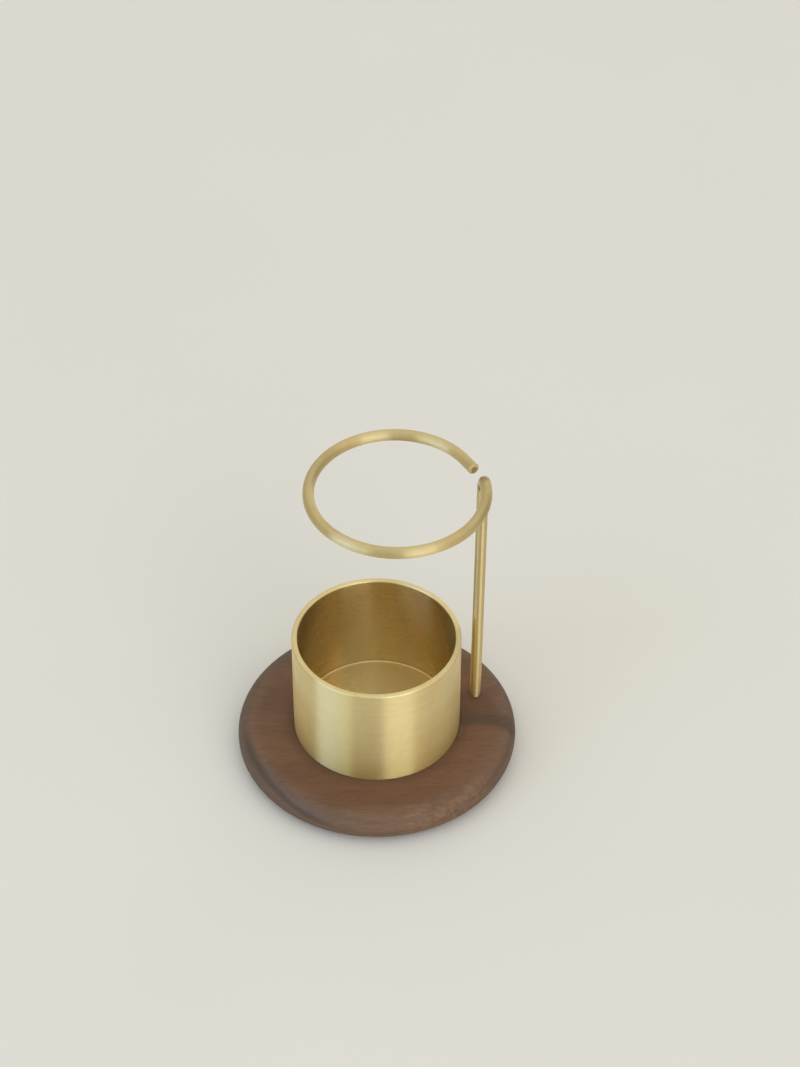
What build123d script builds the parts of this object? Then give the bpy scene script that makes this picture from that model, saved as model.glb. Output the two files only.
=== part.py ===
from build123d import *
import os
from math import atan, cos, degrees, radians, sin, sqrt

# Desk pen holder: a turned walnut disc carries a turned brass cup and, beside the cup, one bent
# brass rod. The rod rises as a post and turns over into an open ring above the cup, so that a pen
# stands in the cup and leans on the ring.
# The origin is on the desk under the middle of the base, +Z is up and -Y is the front.
# Lengths are in millimetres and angles in degrees, counted from +X towards +Y.

# Walnut base
base_diameter = 75.5
base_thickness = 8.0
base_top_round = 4.0
base_bottom_round = 3.8

# Rubber pad, bonded into a shallow recess under the base
pad_diameter = 58.0
pad_thickness = 1.0
pad_stands_out = 0.4
pad_gap = 0.2

# Brass cup, let into a round seat in the top of the base
cup_diameter = 45.0
cup_wall = 1.5
cup_height = 33.0
cup_floor = 2.6
cup_seat_depth = 1.8
cup_seat_gap = 0.05
cup_corner_round = 0.5
cup_rim_round = 0.35
cup_foot_chamfer = 0.3
seat_mouth_chamfer = 0.2

# Brass rod, bent into post and ring
rod_diameter = 3.0
post_angle = 19.2
post_radius = 28.5
post_lean = 0.45
ring_rise = 80.6
bend_reach = 5.6
ring_diameter = 45.0
tail_diameter = 42.5
tail_sweep = 92.0
tail_straight = 4.5
ring_end_gap = 0.4
rod_end_round = 0.6

# Foot of the rod, ground to a taper and driven into a tapered hole
foot_depth = 5.0
foot_taper_length = 13.0
foot_tip_diameter = 2.6
foot_hole_gap = 0.03
foot_hole_chamfer = 0.15

# Button head screw and washer that hold the cup from below
screw_diameter = 3.0
screw_length = 5.0
screw_thread_reach = 1.8
screw_tip_gap = 0.3
screw_tip_chamfer = 0.4
screw_play = 0.02
screw_head_diameter = 5.7
screw_head_height = 1.65
screw_head_round_share = 0.8
screw_key_width = 2.0
screw_key_depth = 1.0
washer_diameter = 7.0
washer_bore = 3.2
washer_thickness = 0.5
washer_edge_chamfer = 0.1
screw_hole_diameter = 3.4
counterbore_diameter = 7.6

# Heights that follow from the sizes above
base_bottom = pad_stands_out
base_top = base_bottom + base_thickness
cup_bottom = base_top - cup_seat_depth
screw_tip = cup_bottom + screw_thread_reach
washer_bottom = screw_tip - screw_length
washer_top = washer_bottom + washer_thickness
head_bottom = washer_bottom - screw_head_height
ring_height = base_top + ring_rise

# Rounds on both sides of a stock leave a narrow flat between them
largest_round_share = 0.49
base_upper_round = min(base_top_round, largest_round_share * base_thickness)
base_lower_round = min(base_bottom_round, largest_round_share * base_thickness)
cup_lip_round = min(cup_rim_round, largest_round_share * cup_wall)
screw_head_round = screw_head_round_share * screw_head_height

# Route of the rod's centreline. Post, ring and cup share one radial line, at post_angle.
outward = Vector(cos(radians(post_angle)), sin(radians(post_angle)), 0)
ring_radius = ring_diameter / 2
tail_radius = tail_diameter / 2
bend_angle_span = degrees(atan(bend_reach / ring_radius))
ring_start_angle = post_angle - bend_angle_span
post_foot = outward * post_radius + Vector(0, 0, base_top)
bend_corner = outward * (post_radius + post_lean) + Vector(0, 0, ring_height)
post_direction = (bend_corner - post_foot).normalized()
ring_center = bend_corner - outward * sqrt(ring_radius**2 + bend_reach**2)


def on_circle(center, radius, angle):
    """Point on a level circle at an angle."""
    return center + Vector(radius * cos(radians(angle)), radius * sin(radians(angle)), 0)


foot_tip = post_foot - post_direction * foot_depth
taper_top = foot_tip + post_direction * foot_taper_length
bend_start = bend_corner - post_direction * bend_reach
ring_start = on_circle(ring_center, ring_radius, ring_start_angle)

# The ring runs clockwise, seen from above. Its last stretch closes in on a smaller radius, runs
# out straight and is cut off just short of the post.
straight_angle = post_angle + degrees((ring_end_gap + tail_straight) / tail_radius) - 360
tail_start_angle = straight_angle + tail_sweep
tail_start = on_circle(ring_center, ring_radius, tail_start_angle)
tail_center = on_circle(ring_center, ring_radius - tail_radius, tail_start_angle)
straight_start = on_circle(tail_center, tail_radius, straight_angle)
straight_heading = Vector(sin(radians(straight_angle)), -cos(radians(straight_angle)), 0)
tail_end = straight_start + straight_heading * tail_straight
ring_middle = on_circle(ring_center, ring_radius, (ring_start_angle + tail_start_angle) / 2)
tail_middle = on_circle(tail_center, tail_radius, (tail_start_angle + straight_angle) / 2)

# Base: soft-edged disc with the cup's seat, the rod's hole, the screw hole and the pad's recess
with BuildPart() as base:
    with BuildSketch(Plane.XY.offset(base_bottom)):
        Circle(base_diameter / 2)
    extrude(amount=base_thickness)
    rim_edges = base.edges().filter_by(GeomType.CIRCLE).sort_by(Axis.Z)
    fillet(rim_edges[-1], radius=base_upper_round)
    fillet(rim_edges[0], radius=base_lower_round)

    with BuildSketch(Plane.XY.offset(cup_bottom)):
        Circle(cup_diameter / 2 + cup_seat_gap)
    extrude(amount=cup_seat_depth, mode=Mode.SUBTRACT)
    seat_mouth = base.edges().filter_by(GeomType.CIRCLE).group_by(Axis.Z)[-1].sort_by(SortBy.RADIUS)[0]
    chamfer(seat_mouth, length=seat_mouth_chamfer)

    with BuildSketch(Plane.XY.offset(base_bottom)):
        Circle(pad_diameter / 2 + pad_gap)
    extrude(amount=pad_thickness - pad_stands_out, mode=Mode.SUBTRACT)

    with BuildSketch(Plane.XY.offset(washer_top)):
        Circle(counterbore_diameter / 2)
    extrude(amount=-washer_top, mode=Mode.SUBTRACT)
    with BuildSketch(Plane.XY.offset(cup_bottom)):
        Circle(screw_hole_diameter / 2)
    extrude(amount=-cup_bottom, mode=Mode.SUBTRACT)

    with Locations(Plane(origin=foot_tip, z_dir=post_direction)):
        Cone(
            bottom_radius=foot_tip_diameter / 2 + foot_hole_gap,
            top_radius=rod_diameter / 2 + foot_hole_gap,
            height=foot_taper_length,
            align=(Align.CENTER, Align.CENTER, Align.MIN),
            mode=Mode.SUBTRACT,
        )
    top_edges = base.edges().group_by(Axis.Z)[-1]
    chamfer(top_edges.sort_by(SortBy.LENGTH)[0], length=foot_hole_chamfer)

# Pad: plain rubber disc that the holder stands on
with BuildPart() as base_pad:
    with BuildSketch():
        Circle(pad_diameter / 2)
    extrude(amount=pad_thickness)

# Cup: turned profile with a rounded inner corner, softened rim and a blind tapped hole below
with BuildPart() as cup:
    with BuildSketch(Plane.XY.offset(cup_bottom)):
        Circle(cup_diameter / 2)
    extrude(amount=cup_height)
    with BuildSketch(Plane.XY.offset(cup_bottom + cup_floor)):
        Circle(cup_diameter / 2 - cup_wall)
    extrude(amount=cup_height - cup_floor, mode=Mode.SUBTRACT)
    cup_edges = cup.edges().filter_by(GeomType.CIRCLE).group_by(Axis.Z)
    fillet(cup_edges[-1], radius=cup_lip_round)
    fillet(cup_edges[1], radius=cup_corner_round)
    chamfer(cup_edges[0], length=cup_foot_chamfer)
    with BuildSketch(Plane.XY.offset(cup_bottom)):
        Circle(screw_diameter / 2 + screw_play)
    extrude(amount=screw_thread_reach + screw_tip_gap, mode=Mode.SUBTRACT)

# Rod: one wire swept up the post, over the bend and round the open ring, with its ground foot
with BuildPart() as ring_wire:
    with BuildLine() as rod_line:
        Line(taper_top, bend_start)
        TangentArc(bend_start, ring_start, tangent=post_direction)
        ThreePointArc(ring_start, ring_middle, tail_start)
        ThreePointArc(tail_start, tail_middle, straight_start)
        Line(straight_start, tail_end)
    with BuildSketch(Plane(origin=taper_top, z_dir=post_direction)):
        Circle(rod_diameter / 2)
    sweep(path=rod_line.wire())
    cut_end = ring_wire.faces().filter_by(GeomType.PLANE).sort_by_distance(tail_end)[0]
    fillet(cut_end.edges(), radius=rod_end_round)
    with Locations(Plane(origin=foot_tip, z_dir=post_direction)):
        Cone(
            bottom_radius=foot_tip_diameter / 2,
            top_radius=rod_diameter / 2,
            height=foot_taper_length,
            align=(Align.CENTER, Align.CENTER, Align.MIN),
        )

# Washer under the screw's head
with BuildPart() as cup_washer:
    with BuildSketch(Plane.XY.offset(washer_bottom)):
        Circle(washer_diameter / 2)
        Circle(washer_bore / 2, mode=Mode.SUBTRACT)
    extrude(amount=washer_thickness)
    washer_rims = cup_washer.edges().filter_by(GeomType.CIRCLE).group_by(SortBy.RADIUS)[-1]
    chamfer(washer_rims, length=washer_edge_chamfer)

# Screw: domed button head with a hexagon socket, shank up into the cup's floor
with BuildPart() as cup_screw:
    with BuildSketch(Plane.XY.offset(head_bottom)):
        Circle(screw_head_diameter / 2)
    extrude(amount=screw_head_height)
    head_edge = cup_screw.edges().filter_by(GeomType.CIRCLE).sort_by(Axis.Z)[0]
    fillet(head_edge, radius=screw_head_round)
    with BuildSketch(Plane.XY.offset(head_bottom)):
        RegularPolygon(radius=screw_key_width / 2, side_count=6, major_radius=False)
    extrude(amount=screw_key_depth, mode=Mode.SUBTRACT)
    with BuildSketch(Plane.XY.offset(washer_bottom)):
        Circle(screw_diameter / 2)
    extrude(amount=screw_length)
    shank_end = cup_screw.edges().filter_by(GeomType.CIRCLE).sort_by(Axis.Z)[-1]
    chamfer(shank_end, length=screw_tip_chamfer)

pieces = {
    "base": base,
    "base_pad": base_pad,
    "cup": cup,
    "ring_wire": ring_wire,
    "cup_washer": cup_washer,
    "cup_screw": cup_screw,
}
os.makedirs("parts", exist_ok=True)
for name, piece in pieces.items():
    piece.part.label = name
    export_step(piece.part, f"parts/{name}.step")
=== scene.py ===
"""Looks of a desk pen holder: a turned walnut base, a turned brass cup and one bent brass rod.

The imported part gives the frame. Every piece here is built in metres where the part has it: turned
pieces from a profile, the rod along its own centreline, the screw with its real thread. Each piece
then gets a finish made of shader nodes. The room is a pale floor, soft windows and the camera.
"""

import logging
import math
from dataclasses import dataclass
from enum import Enum
from typing import Callable, Sequence

import bpy
from mathutils import Matrix, Vector

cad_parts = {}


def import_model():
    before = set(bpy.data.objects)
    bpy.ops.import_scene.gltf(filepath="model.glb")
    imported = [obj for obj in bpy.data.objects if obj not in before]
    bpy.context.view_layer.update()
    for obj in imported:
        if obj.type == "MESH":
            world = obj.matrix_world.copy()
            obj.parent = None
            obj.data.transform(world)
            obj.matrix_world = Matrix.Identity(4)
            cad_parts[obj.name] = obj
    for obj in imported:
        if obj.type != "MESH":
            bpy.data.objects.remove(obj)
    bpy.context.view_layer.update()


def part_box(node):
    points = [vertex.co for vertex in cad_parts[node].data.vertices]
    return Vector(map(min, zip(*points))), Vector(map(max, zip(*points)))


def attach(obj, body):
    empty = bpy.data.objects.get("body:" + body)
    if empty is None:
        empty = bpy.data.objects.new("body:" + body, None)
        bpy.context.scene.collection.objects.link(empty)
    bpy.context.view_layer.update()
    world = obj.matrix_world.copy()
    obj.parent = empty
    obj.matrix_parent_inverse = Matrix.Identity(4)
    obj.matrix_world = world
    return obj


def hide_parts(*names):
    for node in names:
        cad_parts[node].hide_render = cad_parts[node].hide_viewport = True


MM = 0.001
FULL_TURN = 2.0 * math.pi
QUARTER_TURN = 0.5 * math.pi
HALF = 0.5
QUARTER = 0.25
UPWARD = Vector((0.0, 0.0, 1.0))
ON_AXIS = 1e-9
SHARP_ANGLE = math.radians(35.0)
PHOTO_HEIGHT = 1067.0

# The curve between the colours of a screen and linear light
SCREEN_WHITE = 255.0
TOE_END = 0.04045
TOE_SLOPE = 12.92
CURVE_OFFSET = 0.055
CURVE_POWER = 2.4

log = logging.getLogger("pen_holder")

Ring = list[Vector]
Socket = bpy.types.NodeSocket
Number = float | Socket
Colour = tuple[float, float, float, float]
Triple = tuple[float, float, float]


def linear(value: int) -> float:
    """Undo the screen's own curve for one channel.

    Args:
        value: Red, green or blue from 0 to 255.

    Returns:
        The channel's light from 0 to 1.
    """
    share = value / SCREEN_WHITE
    if share <= TOE_END:
        return share / TOE_SLOPE
    return ((share + CURVE_OFFSET) / (1.0 + CURVE_OFFSET)) ** CURVE_POWER


def colour(red: int, green: int, blue: int) -> Colour:
    """Return the shader's solid colour for one that a screen shows, each channel up to 255."""
    return linear(red), linear(green), linear(blue), 1.0


class Operation(Enum):
    """A sum that a node works out, by Blender's name for it."""

    ADD = "ADD"
    SUBTRACT = "SUBTRACT"
    MULTIPLY = "MULTIPLY"
    DIVIDE = "DIVIDE"
    MAXIMUM = "MAXIMUM"
    ABSOLUTE = "ABSOLUTE"
    FRACTION = "FRACT"


class Mixed(Enum):
    """What a mixing node mixes, by Blender's name for it."""

    COLOUR = "RGBA"
    VECTOR = "VECTOR"


@dataclass(frozen=True)
class Ramp:
    """A smooth step, held at both ends: to_low at the value low, and to_high at the value high."""

    low: float
    high: float
    to_low: float = 0.0
    to_high: float = 1.0

    def lifted(self, by: float) -> "Ramp":
        """Return the same step with both results raised."""
        return Ramp(self.low, self.high, self.to_low + by, self.to_high + by)


@dataclass(frozen=True)
class Noise:
    """A soft noise between 0 and 1.

    The scale counts its spots to one unit, the detail counts its layers of finer noise, and the
    roughness is their share. A stretch scales each axis first.
    """

    scale: float = 1.0
    detail: float = 3.0
    roughness: float = 0.5
    stretch: Triple | None = None


class Nodes:
    """Shader nodes of one tree, added and wired through short calls."""

    def __init__(self, tree: bpy.types.NodeTree) -> None:
        """Work on the nodes of a material or of the room's light."""
        self.tree = tree

    def node(self, kind: str, **settings: object) -> bpy.types.Node:
        """Add a node and set its properties.

        Args:
            kind: Blender's name of the node's type.
            **settings: Properties of the node and their values.

        Returns:
            The new node.
        """
        made = self.tree.nodes.new(kind)
        for name, value in settings.items():
            setattr(made, name, value)
        return made

    def feed(self, socket: Socket, value: object) -> None:
        """Wire a socket to another, or set it to a plain value.

        Args:
            socket: The input to feed.
            value: An output socket, a number, a vector or a colour.
        """
        if isinstance(value, Socket):
            self.tree.links.new(value, socket)
        else:
            socket.default_value = value

    def stretch(self, point: Socket, factors: Sequence[float]) -> Socket:
        """Scale a point by its own factor along each axis.

        Args:
            point: The point to scale.
            factors: The factors along X, Y and Z.

        Returns:
            The scaled point.
        """
        mapping = self.node("ShaderNodeMapping")
        self.feed(mapping.inputs["Vector"], point)
        self.feed(mapping.inputs["Scale"], tuple(factors))
        return mapping.outputs["Vector"]

    def split(self, point: Socket) -> list[Socket]:
        """Take a point apart.

        Args:
            point: The point.

        Returns:
            Its X, Y and Z.
        """
        parts = self.node("ShaderNodeSeparateXYZ")
        self.feed(parts.inputs[0], point)
        return list(parts.outputs)

    def join(self, x: Number, y: Number, z: Number) -> Socket:
        """Make a point of three numbers.

        Args:
            x: Place along X.
            y: Place along Y.
            z: Place along Z.

        Returns:
            The point.
        """
        point = self.node("ShaderNodeCombineXYZ")
        for socket, value in zip(point.inputs, (x, y, z)):
            self.feed(socket, value)
        return point.outputs[0]

    def reach(self, point: Socket) -> Socket:
        """Measure a point's distance from the Z axis.

        Args:
            point: The point.

        Returns:
            The distance.
        """
        x, y, _ = self.split(point)
        length = self.node("ShaderNodeVectorMath", operation="LENGTH")
        self.feed(length.inputs[0], self.join(x, y, 0.0))
        return length.outputs["Value"]

    def noise(self, point: Socket, noise: Noise) -> Socket:
        """Read a noise at a point.

        Args:
            point: Where the noise is read.
            noise: Its scale, detail, roughness and stretch.

        Returns:
            The noise from 0 to 1.
        """
        if noise.stretch:
            point = self.stretch(point, noise.stretch)
        spots = self.node("ShaderNodeTexNoise")
        self.feed(spots.inputs["Vector"], point)
        self.feed(spots.inputs["Scale"], noise.scale)
        self.feed(spots.inputs["Detail"], noise.detail)
        self.feed(spots.inputs["Roughness"], noise.roughness)
        return spots.outputs["Fac"]

    def swing(self, point: Socket, noise: Noise, width: float) -> Socket:
        """Return a noise that swings about nought, as wide as given."""
        return self.times(self.minus(self.noise(point, noise), HALF), width)

    def math(self, operation: Operation, first: Number, second: Number = 0.0) -> Socket:
        """Work out one sum on numbers.

        Args:
            operation: What is worked out.
            first: The first number.
            second: The second number, where the operation takes one.

        Returns:
            The result.
        """
        worked = self.node("ShaderNodeMath", operation=operation.value)
        self.feed(worked.inputs[0], first)
        self.feed(worked.inputs[1], second)
        return worked.outputs[0]

    def plus(self, first: Number, second: Number) -> Socket:
        """Return the sum of two numbers."""
        return self.math(Operation.ADD, first, second)

    def minus(self, first: Number, second: Number) -> Socket:
        """Return the first number less the second."""
        return self.math(Operation.SUBTRACT, first, second)

    def times(self, first: Number, second: Number) -> Socket:
        """Return the product of two numbers."""
        return self.math(Operation.MULTIPLY, first, second)

    def span(self, value: Number, ramp: Ramp) -> Socket:
        """Send a value through a smooth step.

        Args:
            value: The value.
            ramp: Where the step starts and ends, and what it gives there.

        Returns:
            The step's result.
        """
        step = self.node("ShaderNodeMapRange", interpolation_type="SMOOTHSTEP")
        numbers = (value, ramp.low, ramp.high, ramp.to_low, ramp.to_high)
        for socket, number in zip(step.inputs, numbers):
            self.feed(socket, number)
        return step.outputs[0]

    def mix(
        self, share: Number, first: object, second: object, kind: Mixed = Mixed.COLOUR
    ) -> Socket:
        """Lay one colour or vector over another.

        Args:
            share: How much of the second shows.
            first: The one below.
            second: The one above.
            kind: Whether colours or vectors are mixed.

        Returns:
            The mixture.
        """
        mixer = self.node("ShaderNodeMix", data_type=kind.value)
        used = [socket for socket in mixer.inputs if socket.enabled]
        for socket, value in zip(used, (share, first, second)):
            self.feed(socket, value)
        return next(socket for socket in mixer.outputs if socket.enabled)


class Recipe(Nodes):
    """One material's nodes."""

    def __init__(self, name: str) -> None:
        """Start a material that holds only its output.

        Args:
            name: Name of the material.
        """
        self.material = bpy.data.materials.new(name)
        self.material.use_nodes = True
        super().__init__(self.material.node_tree)
        self.tree.nodes.clear()
        self.output = self.node("ShaderNodeOutputMaterial")

    def place(self) -> Socket:
        """Return the point on the piece, in millimetres of the part's frame."""
        coordinates = self.node("ShaderNodeTexCoord")
        return self.stretch(coordinates.outputs["Object"], (1.0 / MM,) * 3)

    def bump(
        self, height: Number, depth: float, strength: float = 1.0, below: Socket | None = None
    ) -> Socket:
        """Raise the surface by a height between 0 and 1.

        Args:
            height: The height.
            depth: Millimetres between a height of 0 and 1.
            strength: Share of the bump that shows.
            below: A normal that this bump is added to.

        Returns:
            The bumped normal.
        """
        raised = self.node("ShaderNodeBump")
        self.feed(raised.inputs["Strength"], strength)
        self.feed(raised.inputs["Distance"], depth * MM)
        self.feed(raised.inputs["Height"], height)
        if below is not None:
            self.feed(raised.inputs["Normal"], below)
        return raised.outputs["Normal"]

    def surface(self, **inputs: object) -> bpy.types.Material:
        """Finish the material with a Principled shader.

        Args:
            **inputs: The shader's inputs, with an underscore for each space in their names.

        Returns:
            The finished material.
        """
        shader = self.node("ShaderNodeBsdfPrincipled")
        for name, value in inputs.items():
            self.feed(shader.inputs[name.replace("_", " ")], value)
        self.feed(self.output.inputs["Surface"], shader.outputs[0])
        return self.material


@dataclass(frozen=True)
class GrowthLayers:
    """The growth layers of flat sawn wood, in millimetres.

    A layer is a sheet along X that falls away on both sides of its crest, so its level is a height
    plus a share of the squared distance from the crest.
    """

    crest_y: float = -10.0
    fall: float = 0.004
    waver: Noise = Noise(stretch=(0.02, 0.055, 0.055))
    waver_width: float = 2.4
    start: float = 0.35
    spacing: float = 2.7
    early_side: Ramp = Ramp(0.45, 0.93)
    late_side: Ramp = Ramp(1.0, 0.95)

    def lines(self, recipe: Recipe, point: Socket) -> Socket:
        """Return where a layer ends in its thin dark line, soft on one side and sharp on the other.

        Args:
            recipe: The material's nodes.
            point: The point in millimetres.

        Returns:
            The line's strength from 0 to 1.
        """
        _, y, z = recipe.split(point)
        off_crest = recipe.minus(y, self.crest_y)
        fall = recipe.times(recipe.times(off_crest, off_crest), self.fall)
        waver = recipe.swing(point, self.waver, self.waver_width)
        level = recipe.plus(recipe.plus(z, fall), waver)
        layer = recipe.math(Operation.DIVIDE, recipe.plus(level, self.start), self.spacing)
        within = recipe.math(Operation.FRACTION, layer)
        return recipe.times(
            recipe.span(within, self.early_side), recipe.span(within, self.late_side)
        )


@dataclass(frozen=True)
class DarkVein:
    """A dark vein that crosses the right of the disc, in millimetres."""

    tone: Colour = colour(72, 60, 48)
    strength: float = 0.72
    y: float = -0.4
    waver: Noise = Noise(stretch=(0.07, 0.12, 0.12))
    waver_width: float = 3.4
    bend_x: Ramp = Ramp(31.0, 39.0, 0.0, 2.6)
    front_side: Ramp = Ramp(-3.84, -1.28)
    back_side: Ramp = Ramp(5.44, 0.0)
    start_x: Ramp = Ramp(14.0, 22.0)

    def lay(self, recipe: Recipe, point: Socket, tone: Socket) -> Socket:
        """Lay the vein over the wood.

        Args:
            recipe: The material's nodes.
            point: The point in millimetres.
            tone: The wood's colour so far.

        Returns:
            The colour with the vein.
        """
        x, y, _ = recipe.split(point)
        waver = recipe.swing(point, self.waver, self.waver_width)
        drift = recipe.plus(waver, recipe.span(x, self.bend_x))
        across = recipe.plus(recipe.minus(y, self.y), drift)
        vein = recipe.times(
            recipe.span(across, self.front_side), recipe.span(across, self.back_side)
        )
        vein = recipe.times(vein, recipe.span(x, self.start_x))
        return recipe.mix(recipe.times(vein, self.strength), tone, self.tone)


@dataclass(frozen=True)
class EdgeStreak:
    """A sheet of dark wood that comes out along the left edge, and a greyish band of painted sheen
    above it.

    Lengths are in millimetres. The sheet rises towards the rim.
    """

    tone: Colour = colour(72, 60, 48)
    strength: float = 0.9
    level_x: Ramp = Ramp(-33.0, -12.0, 10.2, 13.7)
    slope: float = 0.5
    waver: Noise = Noise(stretch=(0.10, 0.10, 0.2))
    waver_width: float = 1.4
    thickness: Ramp = Ramp(1.6, 0.2)
    end_x: Ramp = Ramp(-9.0, -19.0)
    end_y: Ramp = Ramp(-2.0, -13.0)
    # The greyish band above the streak is painted sheen
    sheen_band_tone: Colour = colour(98, 78, 72)
    sheen_band_strength: float = 0.7
    band_above: float = 1.9
    band_thickness: Ramp = Ramp(1.3, 0.5)
    band_start_x: Ramp = Ramp(-31.0, -26.0)
    band_end_x: Ramp = Ramp(-8.0, -18.0)

    def height_over(self, recipe: Recipe, point: Socket) -> Socket:
        """Return a point's height over the sheet.

        Args:
            recipe: The material's nodes.
            point: The point in millimetres.

        Returns:
            The height in millimetres, negative below the sheet.
        """
        x, _, z = recipe.split(point)
        slope = recipe.times(recipe.reach(point), self.slope)
        level = recipe.minus(recipe.span(x, self.level_x), slope)
        waver = recipe.swing(point, self.waver, self.waver_width)
        return recipe.plus(recipe.plus(z, level), waver)

    def lay(self, recipe: Recipe, point: Socket, tone: Socket) -> Socket:
        """Lay the greyish band of painted sheen and then the dark streak over the wood.

        Args:
            recipe: The material's nodes.
            point: The point in millimetres.
            tone: The wood's colour so far.

        Returns:
            The colour with the band and the streak.
        """
        x, y, _ = recipe.split(point)
        height = self.height_over(recipe, point)
        from_band = recipe.math(Operation.ABSOLUTE, recipe.minus(height, self.band_above))
        band = recipe.times(
            recipe.span(from_band, self.band_thickness),
            recipe.times(recipe.span(x, self.band_start_x), recipe.span(x, self.band_end_x)),
        )
        streak = recipe.times(
            recipe.span(recipe.math(Operation.ABSOLUTE, height), self.thickness),
            recipe.times(recipe.span(x, self.end_x), recipe.span(y, self.end_y)),
        )
        # Painted sheen: the greyish band above the streak
        tone = recipe.mix(recipe.times(band, self.sheen_band_strength), tone, self.sheen_band_tone)
        return recipe.mix(recipe.times(streak, self.strength), tone, self.tone)


@dataclass(frozen=True)
class Walnut:
    """Oiled black walnut with its fibres along X, so that two ends of the disc show end grain.

    Lengths are in millimetres.
    """

    light: Colour = colour(130, 90, 61)
    middle: Colour = colour(109, 76, 53)
    dark: Colour = colour(82, 55, 40)
    # side: the rounded edge's paler, greyer tone, partly its own cut grain and partly painted sheen
    side: Colour = colour(113, 87, 67)
    # end: the end grain's tone, also laid as painted shade on the side that faces left
    end: Colour = colour(94, 77, 63)
    # A painted highlight: the lighter tone laid on the edge at the front right
    tarnish_and_painted_highlight: Colour = colour(144, 111, 87)
    pore: Colour = colour(54, 37, 27)

    layers: GrowthLayers = GrowthLayers()
    streak: EdgeStreak = EdgeStreak()
    vein: DarkVein = DarkVein()
    patches: Noise = Noise(1.0, 2.0, 0.45, (0.03, 0.10, 0.10))
    fibres: Noise = Noise(1.0, 4.0, 0.6, (0.24, 1.5, 1.5))
    strokes: Noise = Noise(1.0, 3.0, 0.6, (0.6, 3.4, 3.4))
    mottle: Noise = Noise(1.0, 3.0, 0.6, (0.30, 0.8, 0.8))
    pores: Noise = Noise(1.0, 1.0, 0.4, (0.3, 4.2, 4.2))

    patch_tone: Ramp = Ramp(0.34, 0.66)
    middle_share: float = 0.7
    edge_reach: Ramp = Ramp(30.8, 34.2)
    side_facing: Ramp = Ramp(0.93, 0.55)
    side_mottle: Ramp = Ramp(0.32, 0.68, 0.45, 0.95)
    end_facing: Ramp = Ramp(0.30, 0.85)
    end_share: float = 0.70
    # Painted shade: the side that faces left darkens towards the end grain's tone
    shade_left_facing: Ramp = Ramp(0.0, -0.35, 0.0, 0.5)
    # Where the painted highlight lies: on the edge at the front right, broken up by the mottle
    highlight_x: Ramp = Ramp(0.0, 10.0)
    highlight_y: Ramp = Ramp(-19.0, -27.0)
    highlight_mottle: Ramp = Ramp(0.40, 0.62, 0.05, 0.40)
    line_patches: Ramp = Ramp(0.3, 0.6)
    line_share: float = 0.28
    fibre_tone: Ramp = Ramp(0.42, 0.80, 0.0, 0.34)
    stroke_tone: Ramp = Ramp(0.45, 0.75, 0.0, 0.26)
    pore_edge: Ramp = Ramp(0.64, 0.74)
    pore_share: float = 0.34
    # Painted shade: the wood darkens in a ring round the cup's foot
    painted_shade_collar: Ramp = Ramp(26.2, 22.8, 0.0, 0.45)
    fibre_roughness: Ramp = Ramp(0.2, 0.8, 0.57, 0.70)
    ior: float = 1.42
    fibre_height: float = 0.03
    pore_depth: float = 0.05
    relief: float = 0.6

    def edges_and_painted_light(self, recipe: Recipe, point: Socket, tone: Socket) -> Socket:
        """Lay the paler side (partly painted sheen), the end grain, painted shade on the left and a
        painted highlight at the front right.

        Args:
            recipe: The material's nodes.
            point: The point in millimetres.
            tone: The wood's colour so far.

        Returns:
            The colour with its edges.
        """
        geometry = recipe.node("ShaderNodeNewGeometry")
        facing_x, _, facing_z = recipe.split(geometry.outputs["Normal"])
        x, y, _ = recipe.split(point)
        mottle = recipe.noise(point, self.mottle)
        on_edge = recipe.span(recipe.reach(point), self.edge_reach)
        on_side = recipe.math(Operation.MAXIMUM, on_edge, recipe.span(facing_z, self.side_facing))
        # The side's paler, greyer tone: partly the cut grain of the rounded edge, partly painted
        # sheen
        side = recipe.times(on_side, recipe.span(mottle, self.side_mottle))
        tone = recipe.mix(side, tone, self.side)
        end = recipe.span(recipe.math(Operation.ABSOLUTE, facing_x), self.end_facing)
        tone = recipe.mix(recipe.times(end, self.end_share), tone, self.end)
        # Painted shade: the side that faces left is darkened
        left = recipe.times(recipe.span(facing_x, self.shade_left_facing), on_side)
        tone = recipe.mix(left, tone, self.end)
        # Painted highlight: a lighter mottled patch on the edge at the front right
        front_right = recipe.times(recipe.span(x, self.highlight_x), recipe.span(y, self.highlight_y))
        in_front = recipe.times(on_edge, front_right)
        tarnish_and_painted_highlight = recipe.times(in_front, recipe.span(mottle, self.highlight_mottle))
        return recipe.mix(tarnish_and_painted_highlight, tone, self.tarnish_and_painted_highlight)

    def material(self) -> bpy.types.Material:
        """Make the wood of nodes: growth layers, fibres, pores, dark figure, cut edges and painted
        sheen, shade and highlight.

        Returns:
            The finished material.
        """
        recipe = Recipe("walnut_oiled")
        point = recipe.place()
        patches = recipe.noise(point, self.patches)
        fibres = recipe.noise(point, self.fibres)
        strokes = recipe.noise(point, self.strokes)
        pores = recipe.span(recipe.noise(point, self.pores), self.pore_edge)

        tone = recipe.mix(recipe.span(patches, self.patch_tone), self.dark, self.light)
        tone = recipe.mix(self.middle_share, tone, self.middle)
        tone = self.edges_and_painted_light(recipe, point, tone)
        lines = self.layers.lines(recipe, point)
        lines = recipe.times(lines, recipe.span(patches, self.line_patches))
        tone = recipe.mix(recipe.times(lines, self.line_share), tone, self.dark)
        tone = self.streak.lay(recipe, point, tone)
        tone = self.vein.lay(recipe, point, tone)
        tone = recipe.mix(recipe.span(fibres, self.fibre_tone), tone, self.dark)
        tone = recipe.mix(recipe.span(strokes, self.stroke_tone), tone, self.light)
        tone = recipe.mix(recipe.times(pores, self.pore_share), tone, self.pore)
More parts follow.
